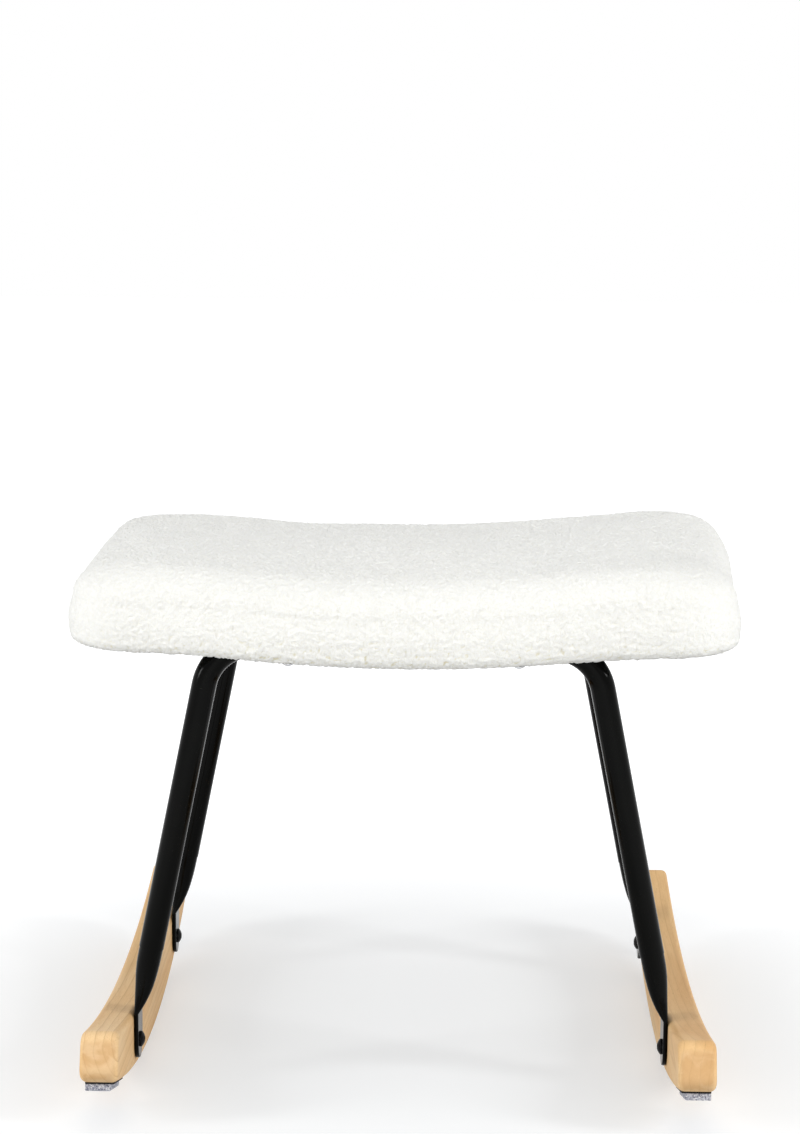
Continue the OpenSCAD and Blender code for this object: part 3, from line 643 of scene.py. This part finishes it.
def nub_heights(points):
    """The height of the curls at each point, from about 0 in the hollows to about 1."""
    heights = np.empty(len(points))
    for i, p in enumerate(points):
        v = Vector(p)
        v = v + NUB_WANDER * noise.noise_vector(v / WANDER_SIZE)
        near, _ = noise.voronoi(v / NUB_SIZE)
        dome = math.sqrt(max(0.0, 1 - (near[0] / NUB_ROUND) ** 2))
        groove = min(1.0, (near[1] - near[0]) / NUB_HOLLOW)
        body = dome * (NUB_FOOT + (1 - NUB_FOOT) * groove * (2 - groove))
        heights[i] = body + YARN_SHARE * noise.noise(v / YARN_SIZE)
    return heights


def strip_cap(nx, ny):
    """Faces that close the first ring with a strip between its rear half and its front half."""
    count = 2 * (nx + ny)
    faces = []
    for i in range(-(ny // 2), nx + ny // 2):
        mirror_i, mirror_j = (2 * nx + ny - i) % count, (2 * nx + ny - i - 1) % count
        face = [i % count, (i + 1) % count, mirror_j, mirror_i]
        faces.append([f for n, f in enumerate(face) if f not in face[:n]][::-1])
    return faces


def make_cover(coarse, coarse_quads, count, rings, move):
    # Outer skin with its curls
    fine_rows = section(0.0, HEM, SECTION_STEPS * FINE)
    fine, quads, fine_count = seat_skin(FINE, 0.0, fine_rows)
    fine = fine + refine(move, FINE, rings) + stuffed(fine)
    row = np.minimum(np.arange(len(fine)) // fine_count, len(fine_rows))
    grow = np.clip(row / (HEM_STEPS * FINE), 0, 1)
    curls = nub_heights(fine)
    height = (curls - NUB_MEAN) * NUB_HEIGHT * (HEM_SHARE + (1 - HEM_SHARE) * grow)
    outer = fine + normals_of(fine, quads) * height[:, None]

    # Lining, reversed, and the fold that joins the two at the hem's end
    shape = coarse + move + stuffed(coarse)
    lining = shape - normals_of(shape, coarse_quads) * COVER_T
    base = len(outer)
    faces = quads.tolist() + (coarse_quads[:, ::-1] + base).tolist()
    for j in range(count):
        for k in range(FINE):
            faces.append([base + j, (FINE * j + k + 1) % fine_count, (FINE * j + k) % fine_count])
        faces.append([base + j, base + (j + 1) % count, (FINE * (j + 1)) % fine_count])
    cover = make_piece("seat_cover_curly", np.vstack([outer, lining]), faces, "cover_fabric")
    curl = cover.data.attributes.new("curl", "FLOAT", "POINT")
    curl.data.foreach_set("value", np.r_[curls, np.ones(len(lining))].astype(np.float32))
    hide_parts("seat_cover")


def make_foam(move):
    """The filling round and over the board, up to the cover's lining."""
    edge = BOARD_INSET - SOFT_GAP
    recess = np.array([[edge, RIM_DROP + BOARD_T + SOFT_GAP], [edge, RIM_DROP - SOFT_GAP]])
    off = COVER_T + SOFT_GAP
    rows = section(off, recess, SECTION_STEPS)
    rows = np.vstack([recess, rows[1:]])
    filling, quads, count = seat_skin(1, off, rows)
    soft = filling[len(recess) * count :]
    soft += move[count:] + stuffed(soft)
    faces = quads.tolist() + strip_cap(TOP_NX, TOP_NY)
    pad = make_piece("seat_foam", filling, faces, "foam")
    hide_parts("foam_pad")


def make_seat():
    rows = section(0.0, HEM, SECTION_STEPS)
    coarse, quads, count = seat_skin(1, 0.0, rows)
    heights = np.r_[np.repeat(rows[:, 1], count), np.full(len(coarse) - len(rows) * count, SEAT_T)]
    move = swollen(coarse, quads, heights)
    make_cover(coarse, quads, count, len(rows), move)
    make_foam(move)


make_seat()


# Runner sizes in millimetres, as in the CAD source
ROCKER_R, RUNNER_TOP_R, RUNNER_X, RUNNER_W = 860.0, 1200.0, 237.1, 33.0
RUNNER_L, RUNNER_T, EDGE_R, CREST_R, NOSE_R = 556.0, 56.5, 6.0, 13.5, 12.0
FRAME_Y, BOLT_UP, INSERT_R, INSERT_DEEP = 150.0, 26.0, 6.1, 20.1
ARC_STEPS, TURN_STEPS, FACE_STEPS, EDGE_STEPS, HOLE_STEPS = 120, 14, 8, 8, 32


def runner_side():
    """Points and outward normals along a runner's side outline, in the plane of its length and height."""
    end = math.asin(RUNNER_L / 2 / ROCKER_R)
    middle, above = np.array([0, ROCKER_R]), np.array([0, RUNNER_T + RUNNER_TOP_R])
    down, out = np.array([math.sin(end), -math.cos(end)]), np.array([math.cos(end), math.sin(end)])
    nose_turn = end - math.asin(NOSE_R / (ROCKER_R - NOSE_R))
    nose = middle + (ROCKER_R - NOSE_R) * np.array([math.sin(nose_turn), -math.cos(nose_turn)])
    start = middle - CREST_R * out - above
    reach = RUNNER_TOP_R + CREST_R
    step = -down @ start + math.sqrt((down @ start) ** 2 - start @ start + reach * reach)
    crest = middle - CREST_R * out + step * down
    crest_turn = math.asin(crest[0] / reach)
    points, normals = [], []

    def sweep(centre, r, low, high, steps, hollow=False):
        for a in np.linspace(low, high, steps, endpoint=False):
            n = np.array([math.sin(a), -math.cos(a)])
            points.append(centre + r * n)
            normals.append(-n if hollow else n)

    sweep(middle, ROCKER_R, 0, nose_turn, ARC_STEPS)
    sweep(nose, NOSE_R, nose_turn, end + math.pi / 2, TURN_STEPS)
    low, high = nose + NOSE_R * out, crest + CREST_R * out
    for share in np.linspace(0, 1, FACE_STEPS, endpoint=False):
        points.append(low + (high - low) * share)
        normals.append(out)
    sweep(crest, CREST_R, end + math.pi / 2, math.pi + crest_turn, TURN_STEPS)
    sweep(above, RUNNER_TOP_R, crest_turn, 0, ARC_STEPS, True)
    points.append(np.array([0.0, RUNNER_T]))
    normals.append(np.array([0.0, 1.0]))
    flip = np.array([-1, 1])
    points += [p * flip for p in points[-2:0:-1]]
    normals += [n * flip for n in normals[-2:0:-1]]
    return np.array(points), np.array(normals)


def make_runner(name, side, look):
    """A runner with rounded edges all round, on the left (side -1) or the right (side 1)."""
    side_points, side_normals = runner_side()
    turns = np.linspace(0, math.pi / 2, EDGE_STEPS + 1)
    across = [(EDGE_R * (1 - math.cos(a)), EDGE_R * (1 - math.sin(a)), a) for a in turns]
    across += [(RUNNER_W - x, deep, math.pi - a) for x, deep, a in across[::-1]]
    count, rows = len(side_points), len(across)
    points, rounded = [], []
    for x, deep, a in across:
        for p, n in zip(side_points, side_normals):
            q = p - n * deep
            points.append((side * (RUNNER_X + x), q[0], q[1]))
            rounded.append((-side * math.cos(a), n[0] * math.sin(a), n[1] * math.sin(a)))
    faces, normals = [], []

    def add(face, its_normals):
        turned = face if side > 0 else face[::-1]
        faces.append(turned)
        normals.extend(its_normals if side > 0 else its_normals[::-1])

    for j in range(rows - 1):
        for i in range(count):
            k = (i + 1) % count
            face = [j * count + i, j * count + k, (j + 1) * count + k, (j + 1) * count + i]
            add(face, [rounded[f] for f in face])

    # Inner face with the holes of its two inserts, and the plain outer face
    rings = []
    bolt_z = ROCKER_R - math.sqrt(ROCKER_R**2 - FRAME_Y**2) + BOLT_UP
    for y in (-FRAME_Y, FRAME_Y):
        rings.append(len(points))
        for deep in (0.0, INSERT_DEEP):
            x = side * (RUNNER_X + deep)
            for a in np.arange(HOLE_STEPS) * 2 * math.pi / HOLE_STEPS:
                points.append((x, y + INSERT_R * math.cos(a), bolt_z + INSERT_R * math.sin(a)))
    inner = [list(range(count))] + [list(range(ring, ring + HOLE_STEPS)) for ring in rings]
    flat = tessellate_polygon([[Vector(points[v]) for v in loop] for loop in inner])
    order = [v for loop in inner for v in loop]
    for triangle in flat:
        face = [order[v] for v in triangle]
        a, b, c = (np.array(points[v]) for v in face)
        if np.cross(b - a, c - a)[0] > 0:
            face = face[::-1]
        faces.append(face if side > 0 else face[::-1])
        normals.extend([(-side, 0, 0)] * 3)
    last = (rows - 1) * count
    add([last + i for i in range(count)], [(side, 0, 0)] * count)
    for ring in rings:
        for i in range(HOLE_STEPS):
            k = (i + 1) % HOLE_STEPS
            face = [ring + k, ring + i, ring + HOLE_STEPS + i, ring + HOLE_STEPS + k]
            angles = [2 * math.pi * v / HOLE_STEPS for v in (k, i, i, k)]
            add(face, [(0, -math.cos(t), -math.sin(t)) for t in angles])
        add([ring + HOLE_STEPS + i for i in range(HOLE_STEPS)][::-1], [(-side, 0, 0)] * HOLE_STEPS)
    runner = make_piece(name + "_rounded", points, faces, look)
    runner.data.normals_split_custom_set(normals)
    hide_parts(name)


make_runner("left_runner", -1, "left_wood")
make_runner("right_runner", 1, "right_wood")


# Felt stop pads under the runner ends, with softened edges and a fibrous skin
PAD_L, PAD_W, PAD_T, TAPE_T, PAD_SETBACK = 55.0, 25.0, 6.0, 1.0, 12.0
PAD_STEPS = (30, 60, 10)
PAD_EDGE = 1.0
FELT_TRIM = 3.0
# The felt's fuzz: height, most of its noise, start of its fade under the tape, fineness and shift by pad
PAD_FUZZ, FUZZ_MOST, FUZZ_FADE, FUZZ_FINE, FUZZ_APART = 0.22, 0.4, 0.5, 0.9, (7, 11, 0)
PAD_TURN = math.asin((RUNNER_L / 2 - PAD_SETBACK - PAD_L / 2) / ROCKER_R)


def grid_box(nx, ny, nz):
    """Points and quads of a box's surface from -1 to 1, with that many steps along each side."""
    number, points, faces = {}, [], []

    def at(i, j, k):
        if (i, j, k) not in number:
            number[i, j, k] = len(points)
            points.append((2 * i / nx - 1, 2 * j / ny - 1, 2 * k / nz - 1))
        return number[i, j, k]

    for i in range(nx):
        for j in range(ny):
            faces.append([at(i, j, 0), at(i, j + 1, 0), at(i + 1, j + 1, 0), at(i + 1, j, 0)])
            faces.append([at(i, j, nz), at(i + 1, j, nz), at(i + 1, j + 1, nz), at(i, j + 1, nz)])
    for i in range(nx):
        for k in range(nz):
            faces.append([at(i, 0, k), at(i + 1, 0, k), at(i + 1, 0, k + 1), at(i, 0, k + 1)])
            faces.append([at(i, ny, k), at(i, ny, k + 1), at(i + 1, ny, k + 1), at(i + 1, ny, k)])
    for j in range(ny):
        for k in range(nz):
            faces.append([at(0, j, k), at(0, j, k + 1), at(0, j + 1, k + 1), at(0, j + 1, k)])
            faces.append([at(nx, j, k), at(nx, j + 1, k), at(nx, j + 1, k + 1), at(nx, j, k + 1)])
    return np.array(points), faces


def make_stop_pad(name, side, end):
    unit, faces = grid_box(*PAD_STEPS)
    half = np.array([PAD_W - FELT_TRIM, PAD_L, PAD_T]) / 2
    core = half - PAD_EDGE
    p = unit * half
    held = np.clip(p, -core, core)
    away = p - held
    length = np.linalg.norm(away, axis=1, keepdims=True)
    reach = np.abs(away).max(axis=1, keepdims=True)
    p = held + away / np.maximum(length, 1e-9) * reach
    apart = Vector(FUZZ_APART) * Vector((side, end, 0))
    fuzz = np.array([noise.noise(Vector(q) * FUZZ_FINE + apart) for q in p])
    free = np.clip(half[2] - FUZZ_FADE - p[:, 2], 0, 1)
    outward = unit / np.linalg.norm(unit, axis=1, keepdims=True)
    p = p + outward * (np.minimum(fuzz, FUZZ_MOST) * PAD_FUZZ * free)[:, None]
    p[:, 2] -= TAPE_T + PAD_T / 2 + ROCKER_R
    angle = end * PAD_TURN
    y = p[:, 1] * math.cos(angle) - p[:, 2] * math.sin(angle)
    z = p[:, 1] * math.sin(angle) + p[:, 2] * math.cos(angle) + ROCKER_R
    x = p[:, 0] + side * (RUNNER_X + RUNNER_W / 2 + FELT_TRIM / 2)
    pad = make_piece(name + "_felt", np.c_[x, y, z], faces, "pad_felt")
    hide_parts(name + "_stop_pad")


make_stop_pad("front_left", -1, -1)
make_stop_pad("front_right", 1, -1)
make_stop_pad("rear_left", -1, 1)
make_stop_pad("rear_right", 1, 1)


# Dust cover: thin bonded cloth under the board, pulled a little slack between its staples and the crossbars
DUST_T, DUST_INSET, HARD_GAP = 0.8, 41.0, 0.1
SEAT_BOLT_X, BOLT_HOLE = 100.0, 3.6
CLOTH_STEP = 4.0
# Sag between the fixings: its depth, the half width of a crossbar's contact, and the stretches it grows over
CLOTH_SAG, BAR_HALF, BAR_FADE, EDGE_FADE = 1.6, 9, 25, 22
# Waves of the cloth: size in width and depth, and the place in the noise that they are taken from
LONG_WAVE, SHORT_WAVE = (70, 26, 3.1), (18, 60, 8.4)


def wave_at(x, y, size):
    return noise.noise(Vector((x / size[0], y / size[1], size[2])))


def make_dust_cover():
    a, b = SEAT_W / 2 - DUST_INSET, SEAT_D / 2 - DUST_INSET
    r = CORNER_R * (1 - DUST_INSET / (SEAT_D / 2))
    nx, ny = int(2 * a / CLOTH_STEP), int(2 * b / CLOTH_STEP)
    points, number = [], {}
    for i in range(nx + 1):
        for j in range(ny + 1):
            x, y = -a + 2 * a * i / nx, -b + 2 * b * j / ny
            cx, cy = max(abs(x) - (a - r), 0), max(abs(y) - (b - r), 0)
            if cx > 0 and cy > 0:
                reach, most = math.hypot(cx, cy), max(cx, cy)
                x = math.copysign(a - r + cx / reach * most, x)
                y = math.copysign(b - r + cy / reach * most, y)
            from_bar = min(1.0, max(0.0, (abs(abs(y) - FRAME_Y) - BAR_HALF) / BAR_FADE))
            from_edge = min(1.0, min(a - abs(x), b - abs(y)) / EDGE_FADE)
            wave = 0.5 + 0.5 * wave_at(x, y, LONG_WAVE) + 0.35 * wave_at(x, y, SHORT_WAVE)
            sag = CLOTH_SAG * max(0.0, wave) * from_bar * max(0.0, from_edge)
            number[i, j] = len(points)
            points.append((x, y, BOARD_H - HARD_GAP - DUST_T / 2 + float(dish(x)) - sag))
    faces = []
    for i in range(nx):
        for j in range(ny):
            quad = [number[i, j], number[i, j + 1], number[i + 1, j + 1], number[i + 1, j]]
            mid = np.mean([points[q][:2] for q in quad], axis=0)
            if math.hypot(abs(mid[0]) - SEAT_BOLT_X, abs(mid[1]) - FRAME_Y) > BOLT_HOLE:
                faces.append(quad)
    sheet = make_piece("dust_cover_cloth", points, faces, "dust_cloth")
    thick = sheet.modifiers.new("thick", "SOLIDIFY")
    thick.thickness = DUST_T * MM
    thick.offset = 0
    solid = bpy.data.meshes.new_from_object(sheet.evaluated_get(bpy.context.evaluated_depsgraph_get()))
    sheet.modifiers.clear()
    sheet.data = solid
    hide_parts("dust_cover")


make_dust_cover()


# Floor, backdrop and light
FLOOR_SIZE = 12.0
FLOOR_COLOUR = (0.605, 0.615, 0.625, 1)
# The floor's own glow, as the camera sees it, near the stool and far from it, and the radii where it changes
FLOOR_NEAR, FLOOR_FAR = 0.43, 1.0
FLOOR_NEAR_R, FLOOR_FAR_R = 0.3, 1.2
# The backdrop's strength as light and as the camera sees it
WORLD_LIGHT, WORLD_SEEN = 0.5, 1.0
LAMP_TARGET = (0, 0, 0.3)


def combine(tree, operation, a, b, clamp=False):
    n = tree.nodes.new("ShaderNodeMath")
    n.operation = operation
    n.use_clamp = clamp
    tree.links.new(a, n.inputs[0])
    tree.links.new(b, n.inputs[1])
    return n.outputs[0]


def seen_directly(tree):
    """1 for rays from the camera, and for those that glossy and clear surfaces send on."""
    path = tree.nodes.new("ShaderNodeLightPath").outputs
    shown = combine(tree, "ADD", path["Is Camera Ray"], path["Is Glossy Ray"], True)
    return combine(tree, "ADD", shown, path["Is Transmission Ray"], True)


def make_floor():
    material = bpy.data.materials.new("floor")
    material.use_nodes = True
    tree = material.node_tree
    tree.nodes.clear()
    diffuse = tree.nodes.new("ShaderNodeBsdfDiffuse")
    diffuse.inputs["Color"].default_value = FLOOR_COLOUR
    away = tree.nodes.new("ShaderNodeVectorMath")
    away.operation = "LENGTH"
    tree.links.new(tree.nodes.new("ShaderNodeTexCoord").outputs["Object"], away.inputs[0])
    own = tree.nodes.new("ShaderNodeMapRange")
    own.interpolation_type = "SMOOTHSTEP"
    own.inputs["From Min"].default_value = FLOOR_NEAR_R
    own.inputs["From Max"].default_value = FLOOR_FAR_R
    own.inputs["To Min"].default_value = FLOOR_NEAR
    own.inputs["To Max"].default_value = FLOOR_FAR
    tree.links.new(away.outputs["Value"], own.inputs["Value"])
    glow = tree.nodes.new("ShaderNodeEmission")
    share = combine(tree, "MULTIPLY", seen_directly(tree), own.outputs[0])
    tree.links.new(share, glow.inputs["Strength"])
    both = tree.nodes.new("ShaderNodeAddShader")
    out = tree.nodes.new("ShaderNodeOutputMaterial")
    tree.links.new(diffuse.outputs[0], both.inputs[0])
    tree.links.new(glow.outputs[0], both.inputs[1])
    tree.links.new(both.outputs[0], out.inputs[0])
    data = bpy.data.meshes.new("floor")
    h = FLOOR_SIZE
    data.from_pydata([(-h, -h, 0), (h, -h, 0), (h, h, 0), (-h, h, 0)], [], [(0, 1, 2, 3)])
    data.materials.append(material)
    floor = bpy.data.objects.new("floor", data)
    bpy.context.scene.collection.objects.link(floor)


def make_world():
    world = bpy.data.worlds.new("studio")
    bpy.context.scene.world = world
    world.use_nodes = True
    tree = world.node_tree
    back = tree.nodes["Background"]
    back.inputs["Color"].default_value = (1, 1, 1, 1)
    strength = tree.nodes.new("ShaderNodeMapRange")
    strength.inputs["To Min"].default_value = WORLD_LIGHT
    strength.inputs["To Max"].default_value = WORLD_SEEN
    tree.links.new(seen_directly(tree), strength.inputs["Value"])
    tree.links.new(strength.outputs[0], back.inputs["Strength"])


def make_lamp(name, place, size, power, colour=(1, 1, 1)):
    """A soft lamp that faces the stool: its place and size in metres and its power in watts."""
    data = bpy.data.lights.new(name, "AREA")
    data.color = colour
    data.shape = "RECTANGLE"
    data.size, data.size_y = size
    data.energy = power
    lamp = bpy.data.objects.new(name, data)
    lamp.location = place
    lamp.rotation_euler = (Vector(LAMP_TARGET) - Vector(place)).to_track_quat("-Z", "Y").to_euler()
    bpy.context.scene.collection.objects.link(lamp)


make_floor()
make_world()
make_lamp("right", (2.6, -1.0, 1.4), (0.6, 0.9), 33)
make_lamp("left", (-2.6, -1.0, 1.1), (0.6, 0.9), 30)
make_lamp("front", (0.1, -3.2, 1.0), (1.4, 1.2), 28, (1.0, 0.985, 0.92))
make_lamp("top", (0.0, -0.2, 2.6), (1.2, 1.2), 7.2, (0.95, 0.98, 1.0))
